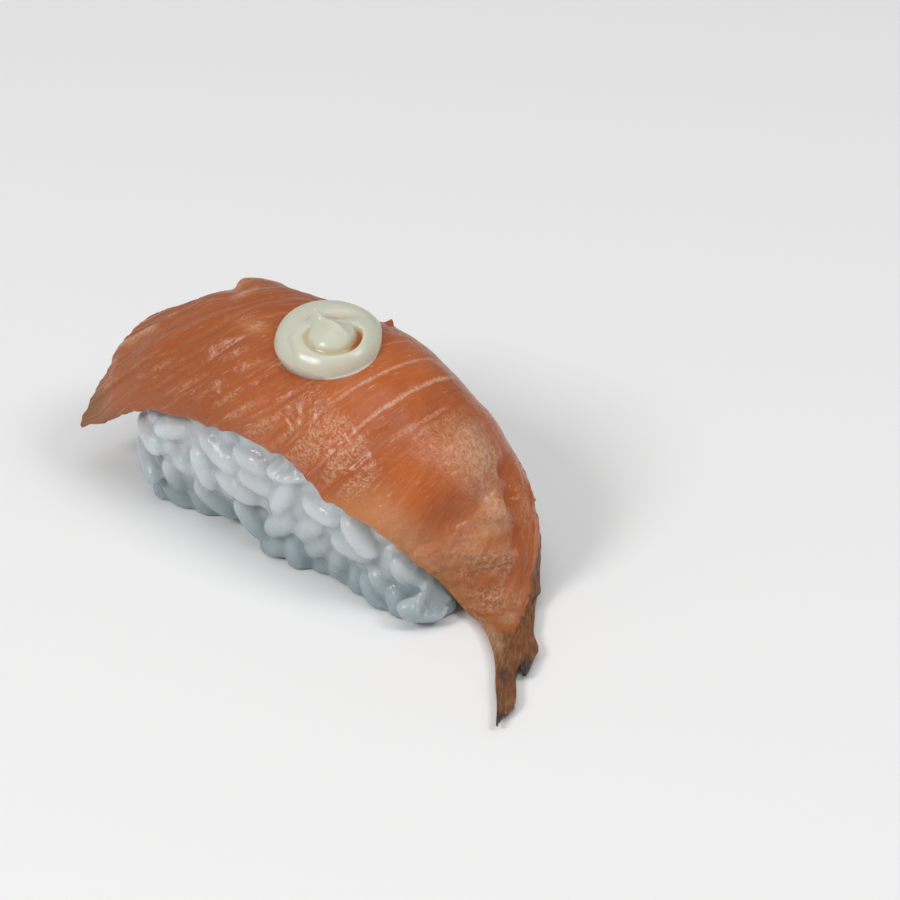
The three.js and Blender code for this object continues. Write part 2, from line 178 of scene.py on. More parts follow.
# Lumps and dents of the top side. A patch is its place along and across, its spread both ways
# and its height or strength.
LUMPS = (
    (-29, 0.4, 5, 0.35, -0.9), (25.5, -0.12, 4.2, 0.2, 0.7), (33, -0.03, 1.8, 0.11, 1.2),
    (29.2, 0.23, 1.4, 0.09, -1.0), (32.2, 0.19, 1.5, 0.09, -0.8), (29.6, -0.3, 2.6, 0.12, -0.5),
    (37.5, -0.15, 2.4, 0.3, 0.6), (41.2, -0.1, 1.6, 0.4, -0.4), (-5, 0.35, 7, 0.4, -0.9),
    (-38, -0.45, 2, 0.3, -0.45), (1, 0.45, 0.5, 0.025, 0.85),
)


def crest_table(step=0.25, left=50, right=74):
    """Points of the crest line at even steps: its heading, from pitch and yaw at the middle of
    each step, summed up both ways from the start."""
    place = np.arange(-left, right + step, step)
    middle = place[:-1] + step / 2
    pitch, yaw = PITCH(middle) * DEG, YAW(middle) * DEG
    heading = np.stack([np.cos(pitch) * np.cos(yaw), np.cos(pitch) * np.sin(yaw), -np.sin(pitch)])
    line = np.concatenate([np.zeros((3, 1)), np.cumsum(heading * step, 1)], 1)
    origin = line[:, round(left / step)]
    return place, line - origin[:, None] + np.array(SHEET_START)[:, None]


CREST_PLACE, CREST_LINE = crest_table()


def half_sheet(l, t):
    """Reach and drop of the side of the sheet that t is on."""
    return np.where(t < 0, NEAR_WIDTH(l), FAR_WIDTH(l)), np.where(t < 0, NEAR_DROP(l), FAR_DROP(l))


def sheet_point(l, t):
    """A point of the sheet's top side, l along and t across: the crest at l, moved sideways by
    width sin(F t) / sin F and down by drop (1 - cos(F t)) / (1 - cos F), with F the fold, and
    then eased off onto the tail's height instead of going below it."""
    pitch, yaw, fold = PITCH(l) * DEG, YAW(l) * DEG, FOLD(l) * DEG
    width, drop = half_sheet(l, t)
    width = width * np.sin(fold * t) / np.sin(fold)
    drop = drop * (1 - np.cos(fold * t)) / (1 - np.cos(fold))
    crest = [np.interp(l, CREST_PLACE, line) for line in CREST_LINE]
    x = crest[0] - width * np.sin(yaw) - drop * np.sin(pitch) * np.cos(yaw)
    y = crest[1] + width * np.cos(yaw) - drop * np.sin(pitch) * np.sin(yaw)
    above = crest[2] - drop * np.cos(pitch) - TAIL_HEIGHT
    return np.stack([x, y, TAIL_HEIGHT + (above + np.hypot(above, TAIL_EASE)) / 2], -1)


def unit(vectors):
    """Each vector divided by its length."""
    return vectors / np.maximum(np.linalg.norm(vectors, axis=-1, keepdims=True), 1e-12)


def sheet_steps(l, t):
    """How far the sheet runs in two small steps along, and in two across."""
    run = sheet_point(l + STEP_ALONG, t) - sheet_point(l - STEP_ALONG, t)
    return run, sheet_point(l, t + STEP_ACROSS) - sheet_point(l, t - STEP_ACROSS)


def sheet_normal(l, t):
    """The unit cross product of the steps along and across the sheet."""
    return unit(np.cross(*sheet_steps(l, t)))


def sheet_depth(l, t):
    """The slice's thickness, which thins towards both long edges by the fifth power."""
    return THICKNESS(l) * (1 - 0.7 * np.minimum(1, np.abs(t)) ** 5)


def sheet_place(points, rounds=12):
    """The place (l, t) and height of points over the sheet, by Newton steps: each step moves l
    and t by the part of the miss that lies along the sheet."""
    l = points[:, 0].clip(-44, 44)
    t = np.clip(points[:, 1] / 14, -1, 1)
    for _ in range(rounds):
        miss = points - sheet_point(l, t)
        run, span = sheet_steps(l, t)
        run, span = run / (2 * STEP_ALONG), span / (2 * STEP_ACROSS)
        rr, rs, ss = (run * run).sum(1), (run * span).sum(1), (span * span).sum(1)
        mr, ms = (miss * run).sum(1), (miss * span).sum(1)
        scale = 0.8 / np.maximum(rr * ss - rs * rs, 1e-6)
        l = np.clip(l + scale * (mr * ss - ms * rs), -46, 60)
        t = np.clip(t + scale * (ms * rr - mr * rs), -1.2, 1.2)
    height = ((points - sheet_point(l, t)) * sheet_normal(l, t)).sum(1)
    return l, t, height


# ---- Meshes ----


def ring_quads(rings, around):
    """The quads between rings of points, each joined to the next and closed on itself."""
    i, j = np.meshgrid(np.arange(rings - 1) * around, np.arange(around), indexing="ij")
    k = (j + 1) % around
    return np.stack([i + j, i + k, i + around + k, i + around + j], -1).reshape(-1, 4)


def tube_faces(rings, around):
    """Quads and end triangles of a closed tube: one point, rings of points, and one point more."""
    j = np.arange(around)
    k = (j + 1) % around
    last = 1 + (rings - 1) * around
    start = np.stack([0 * j, k + 1, j + 1], -1)
    end = np.stack([0 * j + last + around, last + j, last + k], -1)
    return ring_quads(rings, around) + 1, np.concatenate([start, end])


def show(name, data):
    """A new object with this data, in the scene."""
    thing = bpy.data.objects.new(name, data)
    bpy.context.scene.collection.objects.link(thing)
    return thing


def make_piece(name, points, faces, material, node, attributes=None, maps=None):
    """A smooth mesh object from points in millimetres, which rides on the root body in place of
    a CAD node. Attributes have a value for each point, and maps a place."""
    mesh = bpy.data.meshes.new(name)
    mesh.from_pydata(points * MM, [], faces)
    for label, values in (attributes or {}).items():
        layer = mesh.attributes.new(label, "FLOAT", "POINT")
        layer.data.foreach_set("value", values.astype(np.float32).ravel())
    corner = np.zeros(len(mesh.loops), np.int32)
    mesh.loops.foreach_get("vertex_index", corner)
    for label, values in (maps or {}).items():
        layer = mesh.uv_layers.new(name=label)
        layer.uv.foreach_set("vector", values[corner].astype(np.float32).ravel())
    mesh.materials.append(material)
    mesh.shade_smooth()
    piece = show(name, mesh)
    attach(piece, ROOT)
    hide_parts(node)
    return piece


# ---- The salmon slice ----

# How far a fibre runs on towards the tail while it crosses half the sheet, in millimetres: the
# fibres lie nearly lengthwise on the left and straight across on the right.
SWEEP = along(
    (-45, 88), (-30, 80), (-18, 62), (-11, 42), (-4, 30), (3, 22), (8, 11.5), (11, 7.5), (14, 3),
    (18.5, 2), (22, -6), (26, -11), (33, -16), (45, -16)
)

# Where white fat lines leave the near edge, and how plain each one is.
FAT_LINES = (
    (-125, 0), (-108, 0), (-92, 0.12), (-78, 0.1), (-66, 0.16), (-55, 0.1), (-45, 0.16),
    (-36, 0.1), (-28, 0.14), (-21, 0.12), (-15, 0.12), (-9, 0.45), (-3, 0.08), (1.6, 0.85), (11.4, 1),
    (16.3, 0.5), (22.5, 0.16), (29, 0.1), (36, 0.06), (44, 0), (60, 0),
)
QUARTER_ARC = 1.11  # length of a quarter circle's arc over its chord
SHORT_LINE = 15  # the line that shows in the middle of the sheet alone

# Patches where the surface has wrinkled: a net of ridges whose pale colour is partly a dry layer and
# partly painted highlight.
WRINKLES = (
    (6.5, -0.76, 5, 0.17, 1.5), (13.5, -0.68, 4, 0.17, 1.5), (18.5, -0.78, 3, 0.12, 0.7),
    (-3.5, -0.84, 5, 0.1, 1.6), (-13.5, -0.75, 5.5, 0.07, 2.2), (-26, -0.66, 4, 0.07, 2),
    (-36.5, -0.72, 2.5, 0.12, 1.1), (-10.5, -0.48, 3, 0.06, 1.4), (-11, -0.22, 2, 0.05, 1.4),
    (20.9, -0.17, 2.2, 0.13, 0.8), (24.5, 0, 4.6, 0.24, 1.3), (30, -0.04, 2.4, 0.12, 0.8),
    (33.4, -0.04, 2.4, 0.12, 1.2), (39.3, -0.25, 2.2, 0.36, 1.9), (44, -0.2, 2.2, 0.4, 1.6),
    (48.5, -0.1, 2, 0.3, 1), (36, 0.42, 5, 0.18, 0.5), (42, 0.55, 4, 0.25, 0.5),
    (33, -0.82, 5, 0.12, 0.35),
)

# Smooth wet patches between them.
BARE = (
    (18, -0.34, 3.5, 0.12, 1), (9, -0.38, 4, 0.09, 1), (22.5, -0.44, 3, 0.06, 1),
    (29, 0.22, 1.3, 0.07, 1), (32, 0.18, 1.6, 0.08, 1), (28.6, -0.27, 1.5, 0.05, 1),
    (36.5, -0.12, 0.9, 0.14, 1), (42.2, -0.3, 0.9, 0.26, 1), (46.6, -0.1, 0.8, 0.3, 1),
    (37.4, 0.1, 1.3, 0.06, 1), (37, 0.2, 1.5, 0.1, 1), (26, -0.45, 3.5, 0.12, 1),
    (-20.5, -0.69, 2.2, 0.02, 1), (-25, -0.87, 4, 0.08, 1), (-13, -0.9, 3, 0.05, 1),
    (-7, -0.62, 3, 0.03, 1),
)

# Patches of pale sheen: a veil that is partly a thin pale layer and partly painted highlight,
# strongest on the nose.
MILKY_SHEEN = (
    (36.8, -0.3, 3.5, 0.3, 0.9), (24.5, 0.02, 3, 0.14, 1), (28, -0.75, 6, 0.15, 0.4),
    (23.5, 0.03, 2.6, 0.16, 0.8), (26.6, -0.02, 2.4, 0.2, 1.1), (30.2, -0.04, 2, 0.09, 0.7),
    (33.2, -0.04, 1.8, 0.1, 1.2), (36.5, 0.02, 1.6, 0.1, 0.6), (39.5, -0.2, 2.6, 0.25, 0.4),
    (44.5, -0.1, 1.4, 0.5, 0.4), (48.2, -0.12, 1.1, 0.22, 0.9), (-30.7, -0.3, 2, 0.035, 2),
    (-17.7, 0.1, 1, 0.09, 1.4), (-34, -0.36, 2.4, 0.05, 0.9), (-26.8, -0.18, 1, 0.05, 0.9),
    (-21.4, 0.34, 1.2, 0.14, 1.6), (-22, 0.13, 0.8, 0.06, 0.8), (-17.5, 0.42, 3, 0.1, 0.5),
    (36, -0.8, 3, 0.1, 0.4),
)

# Patches of thin, yellowish flesh.
THIN = ((35, -0.12, 4, 0.16, 0.6), (37, -0.45, 4, 0.3, 0.35), (-10, -0.24, 2.5, 0.05, 0.7))

# Where the skin begins on the tail, by place across the sheet.
SKIN_EDGE = along(
    (-1, 47.5), (-0.5, 50.8), (-0.05, 51.2), (0.15, 49.6), (0.3, 47.5), (0.5, 44), (0.7, 41), (1, 38)
)

# The raised flap on the far side: its steep start, its end, the place of its foot and its rise.
FLAP = (-22.2, -17, 0.17, 1.3)

# Heights of the finer relief, in millimetres.
BAND_SWELL = 0.14
STREAK_HEIGHT, LEFT_STREAKS, LEFT_WAVES = 0.04, 0.1, 0.22
WAVE_HEIGHT = 0.16
FOLD_HEIGHT, NOSE_FOLDS, NOSE_CRUMPLE = 0.05, 0.2, 0.42
NET_HEIGHT = 0.2


def slice_reach(s, t):
    """Place along the sheet for a share s from -1 to 1: only the outer parts follow the ends,
    and the last of the +X end is frayed by noise."""
    left = s * LEFT_LENGTH - (LEFT_END(t) - LEFT_LENGTH) * smooth(0.6, 1, -s)
    right = s * RIGHT_LENGTH + (RIGHT_END(t) - RIGHT_LENGTH) * smooth(0.6, 1, s)
    lobe = smooth(0.2, 0.35, t)
    fray = lobe * (0.8 * layered_noise(t * 9, 0 * t, 23) - 0.8) + 0.35 * noise(t * 12, 0 * t, 25)
    return np.where(s < 0, left, right + fray * smooth(0.93, 1, s))


def across(l, t):
    """Distance across the sheet from the crest: t times the arc of a quarter ellipse."""
    return QUARTER_ARC * t * np.hypot(*half_sheet(l, t))


def arc_length(l, t):
    """The whole of that distance, from the crest to the edge on the side of t."""
    return QUARTER_ARC * np.hypot(*half_sheet(l, t))


def fibre_place(l, t):
    """Where the fibre through (l, t) leaves the near edge: l - sweep (t + 1)."""
    return l - SWEEP(l) * (t + 1)


def streak_place(l, t):
    """The same, drawn together where fibres crowd, so that streaks keep about one width."""
    return np.interp(fibre_place(l, t), (-130, -20, 0, 12, 100), (-48, -15, -6, 2, 90))


def fat_bands(l, t):
    """The count of fat lines passed, the distance in which it grows by one, and the strength of
    the nearest line."""
    crossing, strength = np.array(FAT_LINES).T
    number = np.arange(len(crossing))
    place = fibre_place(l, t)
    count = np.interp(place, crossing, number)
    spacing = np.interp(place, (crossing[1:] + crossing[:-1]) / 2, np.diff(crossing))
    turn = fibre_place(l, t + STEP_ACROSS) - fibre_place(l, t - STEP_ACROSS)
    turn = turn / (2 * STEP_ACROSS)
    distance = spacing / np.hypot(1, turn / np.maximum(arc_length(l, t), 1))
    nearest = np.round(count).astype(int)
    middle = smooth(-0.42, -0.3, t) * (1 - smooth(-0.02, 0.12, t))
    short = np.where(nearest == SHORT_LINE, middle, 1)
    faint = 0.45 + 0.55 * smooth(-0.6, -0.2, t)
    ends = (1 - smooth(0.22, 0.5, t)) * smooth(-1, -0.8, t)
    return count, distance, strength[nearest] * short * faint * ends


def covered(table, gain, bare_gain, l, t):
    """How much a table's patches cover, from 0 to 1, less the bare patches."""
    bare = np.clip(bare_gain * patches(BARE, l, t), 0, 1)
    return (1 - np.exp(-gain * patches(table, l, t))) * (1 - bare)


def wrinkled(l, t):
    """How wrinkled the surface is; the pale net of painted highlight lies on the same patches."""
    return covered(WRINKLES, 1.3, 1, l, t)


def milky_sheen(l, t):
    """How much pale sheen lies on it: partly a thin layer, partly painted highlight."""
    return covered(MILKY_SHEEN, 1, 1.3, l, t)


def wrinkle_net(l, w):
    """Ridges of the wrinkled skin, from 0 to 1: one minus the size of a noise that has itself
    been shifted by a slower one, so that the ridges wind."""
    shift = 0.8 * noise(l * 0.5, w * 0.5, 31)
    return (1 - np.abs(noise(l * 0.85 + shift, w * 1.05 - shift, 33))) ** 2


def dried_and_shaded(l, t):
    """How brown and dull the flesh is: dry at the -X tip; painted shade along the far side, on the
    far edge by the tail and over the -X half; and browner towards the +X end.
    """
    tip = 1 - smooth(-42, -34.5, l + 4 * (t + 0.8))
    # Painted shade: the far side, the far edge by the tail and the -X half turn browner.
    far = 0.45 * smooth(0.12, 0.7, t) * (1 - smooth(10, 26, l))
    right = 0.8 * smooth(0.62, 0.85, t) * smooth(36, 44, l)
    left = 0.3 * (1 - smooth(-28, 14, l))
    end = (0.2 * smooth(37, 41, l) + 0.6 * bell((l - 48) / 4)) * (1 - smooth(0.2, 0.5, t))
    return np.clip(tip + far + right + left + end, 0, 1)


def frayed(l, t):
    """How bluish black the skin is, from 0 to 1: at the frayed ends of both lobes, in one patch
    where they part, and along the near edge of the last strip."""
    lobe = smooth(55.8, 58, l) * smooth(0.3, 0.5, t)
    patch = bell((l - 60.5) / 1.5) * bell((t + 0.25) / 0.35)
    strip = 0.5 * smooth(61, 65, l) * (1 - smooth(-0.8, -0.4, t))
    return np.clip(lobe + patch + strip + smooth(67, 69, l), 0, 1)


def thin_flesh(l, t):
    """Where the flesh thins and turns yellowish: the near edge of the +X half, and the nose."""
    edge = (1 - smooth(-0.97, -0.45, t)) * smooth(14, 24, l) * (1 - smooth(46, 50, l))
    return np.clip(edge + patches(THIN, l, t), 0, 1)


def slice_relief(l, t):
    """Height of the top side's relief: the lumps, the flap, muscle bands that swell between fat
    lines, streaks along the fibres, soft waves, folds that grow on the nose, and the net."""
    height = patches(LUMPS, l, t)
    count, _, strength = fat_bands(l, t)
    w = across(l, t)
    start, end, foot, rise = FLAP
    flap = smooth(start - 0.2, start + 0.5, l + 2.5 * (t - foot)) * (1 - smooth(start, end, l))
    height += rise * flap * smooth(foot - 0.03, foot + 0.08, t) * (1 - 0.6 * smooth(0.45, 0.9, t))
    u = count % 1
    height += BAND_SWELL * np.minimum(strength, 0.7) * 4 * u * (1 - u)
    fibre = streak_place(l, t)
    left = 1 - smooth(-8, 8, l)
    height += (STREAK_HEIGHT + LEFT_STREAKS * left) * layered_noise(fibre * 1.1, w * 0.16, 3)
    height += WAVE_HEIGHT * noise(l * 0.22, w * 0.2, 5)
    folds = 1 - np.abs(layered_noise(l * 0.95 + 0.6 * noise(l, w, 9), w * 0.6, 7, 2))
    nose = smooth(27, 34, l) * (1 - smooth(48, 52, l))
    height += (FOLD_HEIGHT + NOSE_FOLDS * nose) * folds
    winding = 0.5 * noise(l * 0.3, w * 0.3, 41)
    crumple = 1 - np.abs(noise(l * 0.42 + winding, w * 0.3 + 0.15 * l, 43))
    height += NOSE_CRUMPLE * nose * (crumple - 0.6)
    height += NET_HEIGHT * wrinkled(l, t) * (wrinkle_net(l, w) - 0.4)
    height += LEFT_WAVES * left * layered_noise(fibre * 0.32, w * 0.12, 13)
    return height * smooth(0, 0.12, 1.02 - np.abs(t)) ** 0.5


def end_cap(t, columns):
    """Triangles that close one end of the slice, between its top points, 0 to columns, and its
    under points, which come back after them. Each top edge meets the nearest point below."""
    under = np.arange(columns + 1, len(t))
    j = np.arange(columns)
    middle = (t[j] + t[j + 1]) / 2
    below = under[np.abs(t[under][None, :] - middle[:, None]).argmin(1)]
    below[0], below[-1] = under[-1], under[0]
    steps = np.flatnonzero(below[1:] != below[:-1]) + 1
    from_top = np.stack([below, j, j + 1], -1)
    return np.concatenate([from_top, np.stack([steps, below[steps], below[steps - 1]], -1)])


def slice_mesh(rows=400, columns=160, under_columns=48):
    """A closed shell: each row is a loop over the top side and back along the underside, whose two
    meet in a quarter-circle round at the long edges. The ends are rounded alike and capped."""
    s = np.linspace(-1, 1, rows)[:, None]

    def spread(count):
        u = np.linspace(-1, 1, count + 1)[None, :]
        return 0.6 * u + 0.4 * np.sin(u * np.pi / 2) + 0 * s

    def side(t, sign):
        """Points of the top side (sign 1) or of the underside (sign -1), and their places."""
        l = slice_reach(s, t)
        wobble = 0.02 * layered_noise(l * 0.3, np.sign(t) * 9, 21) * smooth(0.5, 1, np.abs(t))
        place = t * (1 + wobble)
        depth = sheet_depth(l, t)
        rim = 0.6 * np.maximum(depth, 0.8)
        edge = np.clip((1 - np.abs(t)) * arc_length(l, t) / rim, 0, 1)
        tip = np.clip((1 - np.abs(s)) * 55 / rim, 0.02, 1)
        swell = np.sqrt(1 - (1 - edge) ** 2) * np.sqrt(1 - (1 - tip) ** 2)
        relief = slice_relief(l, t)
        offset = (relief - depth) / 2 + sign * (relief + depth) / 2 * swell
        return sheet_point(l, place) + sheet_normal(l, place) * offset[..., None], l, t

    top, top_l, top_t = side(spread(columns), 1)
    under, under_l, under_t = side(spread(under_columns)[:, -2:0:-1], -1)
    loop = np.concatenate([top, under], 1)
    loop[..., 2] = np.maximum(loop[..., 2], TABLE_GAP)
    l, t = np.concatenate([top_l, under_l], 1), np.concatenate([top_t, under_t], 1)
    points = loop.reshape(-1, 3)
    around = loop.shape[1]
    faces = ring_quads(rows, around)[:, ::-1].tolist()
    faces += end_cap(t[0], columns).tolist()
    faces += (end_cap(t[-1], columns)[:, ::-1] + (rows - 1) * around).tolist()

    count, distance, strength = fat_bands(l, t)
    w = across(l, t)
    values = {
        "bands": count,
        "band_size": distance,
        "fat": strength,
        "place_along": l,
        "place_across": t,
        "wrinkled": wrinkled(l, t),
        "milky_sheen": milky_sheen(l, t),
        "dried_and_shaded": dried_and_shaded(l, t),
        "skin": l - SKIN_EDGE(t),
        "frayed": frayed(l, t),
        "thin": thin_flesh(l, t),
    }
    maps = {"fibres": streak_place(l, t), "sheet": l}
    maps = {name: np.stack([u, w], -1).reshape(-1, 2) / MAP_SIZE for name, u in maps.items()}
    return points, faces, values, maps


# ---- The rice ----

RICE_CENTRE_X = -0.8
RICE_HALF = (25, 13.2)  # half length and half width, in millimetres
RICE_HEIGHT = 28  # of the mound before the slice presses its top into shape
SQUARENESS = 7  # exponent of the footprint: 2 is an ellipse, more is boxier
LEAN = 0.7  # how far the -X end leans out at half height
BELLY_HEIGHT = 8  # where the block is widest
TUCK = 0.03  # share by which the foot is narrower than the belly
CORE_DEPTH = 0.6  # the core lies this far inside the grains' outer envelope
PIT_DEPTH = 1.1  # and this much deeper in its pits
CORE_FOOT, GRAIN_FOOT = 0.3, 0.05  # lowest points above the table
HOLLOW = (4.27, 0.27, 0.29, 8)  # angle, half angle, share and height of the hollow in the foot
NEAR_TUCK = (5.1, 0.3, 0.14, 11)  # the same of a place where the foot is drawn in
SHAVE = (0.8, 0.55, 0.22, 10)  # the same of the corner that falls away with height
BALL_REACH = 0.32  # share of a grain's length from its middle ball to an end one
BALL_GAP = 0.84  # share of a grain's width that two balls keep apart
PACK_PUSH, PACK_TURN = 0.16, 0.1  # how far balls that meet push and turn their grains
PACK_PULL, PACK_LAY = 0.5, 0.25  # how far a grain then goes back to its depth, and lies down
OUTER_SHARE = 0.6  # share of the grains that lie at the surface
GRAIN_DEPTHS = (1.2, 2.5)  # depth of an outer grain's middle, and of an inner one's
PRESSED_HALF = 44  # half the length of the sheet that presses the rice down
CEILING = 12  # how far below the sheet a grain may lie and still be pressed down by it
GRAIN_TOPS = along((-27, 16.5), (-12, 17.5), (4, 17.5), (12, 16), (18, 13.5), (22, 10), (26, 7))
GOLDEN = (np.sqrt(5) - 1) / 2

# Grains that stand out of the block: angle, height, and how far they are moved.
STRAYS = (
    (3.93, 4, (-0.5, -0.3, -1.2)), (5.62, 3, (0.6, -1.4, -0.8)), (4.9, 14, (0, -0.8, 0)),
    (5.3, 11, (0, -0.7, 0)),
)


def dent(place, angle):
    """Share of a dent at an angle, a bell about its middle, and the dent's height."""
    middle, half, share, height = place
    return share * bell((angle - middle) / half), height


def rice_point(angle, z, depth=0.0):
    """The envelope that the grains reach: a superellipse footprint, tucked in at the foot and
    rounded off at the top by a cubic, with a hollow in the foot and one shaved corner."""
    c, s = np.cos(angle), np.sin(angle)
    footprint = (np.abs(c) ** SQUARENESS + np.abs(s) ** SQUARENESS) ** (-1 / SQUARENESS)
    above = np.clip((z - BELLY_HEIGHT) / (RICE_HEIGHT - BELLY_HEIGHT), 0, 0.999)
    (hollow, hollow_top), (near, near_top), (shave, shave_top) = (
        dent(place, angle) for place in (HOLLOW, NEAR_TUCK, SHAVE)
    )
    foot = 1 - TUCK * (1 - smooth(-1, BELLY_HEIGHT, z))
    foot = foot - hollow * (1 - smooth(0, hollow_top, z)) - near * (1 - smooth(0, near_top, z))
    top = (1 - above**3) ** (1 / 3) - shave * smooth(0, shave_top, z)
    r = footprint * foot * np.maximum(top, 0.05)
    lean = np.where(c < 0, LEAN * smooth(0, 14, z), 0)
    x = RICE_CENTRE_X + r * (RICE_HALF[0] - depth + lean) * c
    y = r * (RICE_HALF[1] - depth) * s
    return np.stack([x, y, z + 0 * angle], -1)


def angle_at(share):
    """The angle at a share of the way round the block's outline, from its summed length."""
    angle = np.linspace(0, 2 * np.pi, 721)
    outline = rice_point(angle, np.full(721, 12.0))
    run = np.concatenate([[0], np.cumsum(np.linalg.norm(np.diff(outline, axis=0), axis=1))])
    return np.interp(share * run[-1], run, angle)


def turned(vectors, axes, angles):
    """Each vector turned about its own unit axis, by Rodrigues' formula."""
    c, s = np.cos(angles)[:, None], np.sin(angles)[:, None]
    lift = (axes * vectors).sum(1, keepdims=True)
    return vectors * c + np.cross(axes, vectors) * s + axes * lift * (1 - c)


def envelope_frame(angle, z):
    """A point of the envelope, the direction round it and the direction out of it."""
    point = rice_point(angle, z)
    around = unit(rice_point(angle + 0.02, z) - rice_point(angle - 0.02, z))
    rise = unit(rice_point(angle, z + 0.02) - rice_point(angle, z - 0.02))
    return point, around, unit(np.cross(around, rise))


def grain_frames(number, layer_depth, length, width, rounds=70):
    """Middle and three axes of each grain. They start at golden steps round the block and even
    steps up it, lying flat against the envelope and turned by a draw. Then they are packed: each
    grain is three balls in a row, and balls of two grains that meet push them apart and round."""
    angle = angle_at(number * GOLDEN % 1)
    top = GRAIN_TOPS(rice_point(angle, np.full(len(angle), 8.0))[:, 0])
    z = 1.3 + (top - 1.0) * draw(number, 8)
    middle, around, out = envelope_frame(angle, z)
    middle = middle - out * layer_depth[:, None]
    axis = turned(around, out, np.pi * draw(number, 2))
    reach = np.array([-BALL_REACH, 0, BALL_REACH]) * length
    same = np.kron(np.eye(len(number)), np.ones((3, 3))) > 0
    for step in range(rounds):
        balls = (middle[:, None] + axis[:, None] * reach[None, :, None]).reshape(-1, 3)
        apart = balls[:, None] - balls[None, :]
        gap = np.linalg.norm(apart, axis=2) + 1e-9
        push = np.where(same, 0, np.maximum(0, BALL_GAP * width - gap)) / gap
        force = (apart * push[..., None]).sum(1).reshape(-1, 3, 3)
        middle = middle + PACK_PUSH * force.sum(1)
        axis = unit(axis + PACK_TURN * (force * reach[None, :, None]).sum(1) / length)
        x = (middle[:, 0] - RICE_CENTRE_X) / RICE_HALF[0]
        angle = np.arctan2(middle[:, 1] / RICE_HALF[1], x) % (2 * np.pi)
        z = np.clip(middle[:, 2], 1.2, GRAIN_TOPS(middle[:, 0]))
        wall, around, out = envelope_frame(angle, z)
        off = ((wall - middle) * out).sum(1)
        middle = middle + out * (PACK_PULL * (off - layer_depth))[:, None]
        middle[:, 2] = z
        if step % 10 == 9:
            l, t, height = sheet_place(middle)
            excess = height + sheet_depth(l, np.clip(t, -1, 1)) + CLEARANCE + 0.45 * width
            excess = np.where((np.abs(t) < 1.05) & (height > -CEILING), np.maximum(excess, 0), 0)
            middle = middle - sheet_normal(l, t) * excess[:, None]
        axis = unit(axis - PACK_LAY * out * (axis * out).sum(1, keepdims=True))
    side = unit(np.cross(out, axis))
    for at_angle, at_height, shift in STRAYS:
        place = rice_point(np.full(1, at_angle), np.full(1, float(at_height)))
        nearest = np.linalg.norm(middle - place, axis=1).argmin()
        middle[nearest] += shift
    return middle, axis, side, np.cross(axis, side)


def grain_shape(rings=8, sides=12):
    """One grain of unit size along x: rings of radius (1 - |2x|^2.6)^0.5 and a little flatter on
    one side, closed by a point at each end."""
    polar = np.linspace(0, np.pi, rings + 2)[1:-1][:, None]
    around = whole_turn(sides)
    x = -0.5 * np.cos(polar)
    r = 0.5 * (1 - np.abs(2 * x) ** 2.6) ** 0.5
    belly = 1 + 0.06 * np.cos(around)
    ring = np.stack([x + 0 * around, r * belly * np.cos(around), r * np.sin(around)], -1)
    points = np.concatenate([[[-0.5, 0, 0]], ring.reshape(-1, 3), [[0.5, 0, 0]]])
    quads, triangles = tube_faces(rings, sides)
    return points, quads[:, ::-1], triangles[:, ::-1]


def rice_core(rings=40, around=120):
    """The core: rings of the envelope, set in by its depth, from the foot up to the top."""
    angle = whole_turn(around)
    share = np.linspace(0, 1, rings, endpoint=False)[:, None]
    top = RICE_HEIGHT - CORE_DEPTH
    z = CORE_FOOT + (top - CORE_FOOT) * np.sin(share * np.pi / 2)
    s = np.sin(angle)
    pits = smooth(0.15, 0.6, noise(np.cos(angle) * 9 + 3 * s, z * 0.35 + 4 * s, 17))
    ring = rice_point(angle + 0 * z, z + 0 * angle, CORE_DEPTH + PIT_DEPTH * pits).reshape(-1, 3)
    points = np.concatenate([[[0, 0, CORE_FOOT]], ring, [[0, 0, top]]])
    quads, triangles = tube_faces(rings, around)
    return points, quads.tolist() + triangles.tolist()


def pressed(points):
    """Points pressed down under the slice: those nearer to its underside than the clearance move
    back along the sheet's normal, eased so that they flatten instead of piling up."""
    l, t, height = sheet_place(points)
    limit = -sheet_depth(l, np.clip(t, -1, 1)) - CLEARANCE
    room = limit - height
    soft = 0.35
    eased = limit - (room + np.hypot(room, soft)) / 2
    under = (np.abs(t) < 1.12) & (np.abs(l) < PRESSED_HALF) & (height > -CEILING)
    move = np.where(under, eased - height, 0)
    return points + sheet_normal(l, t) * move[:, None]


def rice_grains(count, length, width, thickness):
    """Every grain's mesh: the unit grain along its own axes, a little bent. Most lie at the
    surface, and the rest fill the gaps from below."""
    number = np.arange(float(count))
    depth = np.where(number < OUTER_SHARE * count, *GRAIN_DEPTHS)
    middle, *axes = grain_frames(number, depth, length, width)
    size = 1 + 0.12 * (2 * draw(number, 4) - 1)
    shape, quads, triangles = grain_shape()
    bend = 0.5 * (draw(number, 5) - 0.5)
    x = shape[None, :, 0] * (length * size)[:, None]
    y = shape[None, :, 1] * width + (bend[:, None] * (4 * shape[None, :, 0] ** 2 - 0.4))
    z = shape[None, :, 2] * thickness
    points = middle[:, None]
    for reach, axis in zip((x, y, z), axes):
        points = points + reach[..., None] * axis[:, None]
    points = points.reshape(-1, 3)
    start = np.arange(len(number))[:, None, None] * len(shape)
    faces = (quads + start).reshape(-1, 4).tolist() + (triangles + start).reshape(-1, 3).tolist()
    return points, faces


# ---- The mayonnaise ----

DOLLOP_ALONG = 0.4  # where it sits on the slice
DOLLOP_ACROSS = -0.1
DOLLOP_TURN = 39.5  # degrees: heading of the dollop's own x axis
TIP = (-1.35, 0.15)  # the pulled-up tip, in the dollop's own x and y
HEART = (0.62, -1.95, 3.2, 2.9, 2.1)  # the last coil's middle, half width and two reaches
SKIRT = ((0.8, -1.6), (0.92, -1.3), (0.985, -0.7))  # the lower rings' radius share and height


